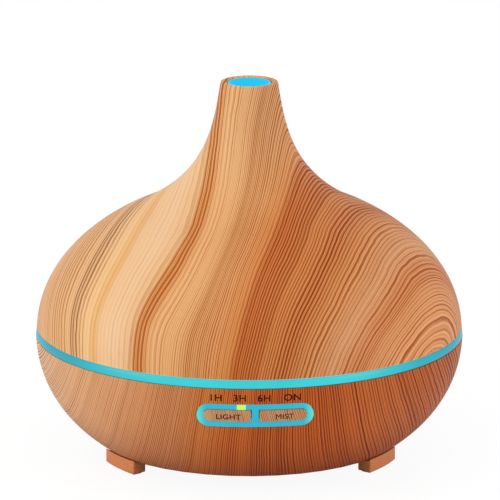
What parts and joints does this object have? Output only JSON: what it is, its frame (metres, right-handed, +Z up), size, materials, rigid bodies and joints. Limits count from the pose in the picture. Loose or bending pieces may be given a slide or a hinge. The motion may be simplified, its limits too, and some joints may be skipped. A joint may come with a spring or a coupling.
{
  "type": "cool mist humidifier",
  "caption": "Onion-shaped tabletop ultrasonic cool mist humidifier with a lift-off wood-effect cover, glowing light ring and two-button control panel.",
  "frame": {"origin": "on the surface it stands on, on the body's vertical axis, between its three feet", "axes": "+Z up along the body's axis; the control panel faces -Y and the power socket +Y"},
  "size_m": [0.1658, 0.1658, 0.1465],
  "materials": {
    "cover_wood": "wood-grain film, satin",
    "base_wood": "wood-grain film, satin",
    "button_wood": "light wood-grain film, satin",
    "foot_wood": "wood-coloured, satin",
    "glow_ring": "translucent, lit cyan from inside",
    "glow_frame": "translucent, lit cyan from behind",
    "glow_liner": "translucent, lit cyan from below",
    "lime_lens": "translucent, lit yellow-green",
    "frosted": "frosted, translucent",
    "rubber": "matte",
    "silicone": "matte",
    "steel": "zinc plated",
    "brass": "nickel-gold disc",
    "aluminium": "satin",
    "black_plastic": "fine moulded grain",
    "white_plastic": "moulded",
    "circuit_board": "solder mask",
    "ferrite": "matte",
    "foam": "open cell",
    "wire": "satin sleeve"
  },
  "bodies": {
    "base": {"light_ring": "glow_ring", "ring_led_board": "circuit_board", "ring_led_1": "white_plastic", "ring_led_2": "white_plastic", "ring_led_3": "white_plastic", "water_tank": "frosted", "tank_seal": "silicone", "air_duct_hood": "frosted", "water_probe": "steel", "transducer_disc": "brass", "transducer_gasket": "rubber", "transducer_clamp": "aluminium", "clamp_screw_left": "steel", "clamp_screw_right": "steel", "base_shell": "base_wood", "bottom_cover": "black_plastic", "base_screw_1": "steel", "base_screw_2": "steel", "base_screw_3": "steel", "foot_rear": "foot_wood", "foot_left": "foot_wood", "foot_right": "foot_wood", "foot_pad_rear": "rubber", "foot_pad_left": "rubber", "foot_pad_right": "rubber", "panel_frame": "glow_frame", "timer_lens": "lime_lens", "timer_led": "white_plastic", "light_switch": "black_plastic", "mist_switch": "black_plastic", "button_board": "circuit_board", "board_screw_left": "steel", "board_screw_right": "steel", "fan_frame": "black_plastic", "fan_screw_1": "steel", "fan_screw_2": "steel", "fan_foam_seal": "foam", "main_board": "circuit_board", "main_board_screw_left": "steel", "main_board_screw_right": "steel", "controller_chip": "black_plastic", "inductor": "ferrite", "capacitor": "black_plastic", "heat_sink": "aluminium", "power_transistor": "black_plastic", "panel_connector": "white_plastic", "power_socket": "black_plastic", "socket_pin": "steel", "transducer_lead": "wire", "fan_lead": "wire", "panel_lead": "wire", "socket_lead": "wire"},
    "cover": {"outer_cover": "cover_wood", "nozzle_liner": "glow_liner"},
    "splash_cover": {"inner_cover": "frosted"},
    "light_key": {"light_button": "button_wood", "light_plunger": "white_plastic"},
    "mist_key": {"mist_button": "button_wood", "mist_plunger": "white_plastic"},
    "fan_wheel": {"fan_rotor": "black_plastic"}
  },
  "joints": [
    {"name": "cover_lift", "type": "slide", "parent": "base", "child": "cover", "axis": [0, 0, 1], "range_m": [0, 0.16]},
    {"name": "splash_cover_lift", "type": "slide", "parent": "base", "child": "splash_cover", "axis": [0, 0, 1], "range_m": [0, 0.064]},
    {"name": "light_button_press", "type": "slide", "parent": "base", "child": "light_key", "axis": [0, 1, 0], "range_m": [0, 0.0006], "stiffness_N_per_m": 400, "springref_m": -0.002},
    {"name": "mist_button_press", "type": "slide", "parent": "base", "child": "mist_key", "axis": [0, 1, 0], "range_m": [0, 0.0006], "stiffness_N_per_m": 400, "springref_m": -0.002},
    {"name": "fan_spin", "type": "hinge", "parent": "base", "child": "fan_wheel", "pos_m": [-0.0206, 0.0295, 0.0125], "axis": [0, 0, 1], "continuous": true}
  ],
  "couplings": [
    {"joint": "splash_cover_lift", "follows": "cover_lift", "ratio": 0.4}
  ]
}
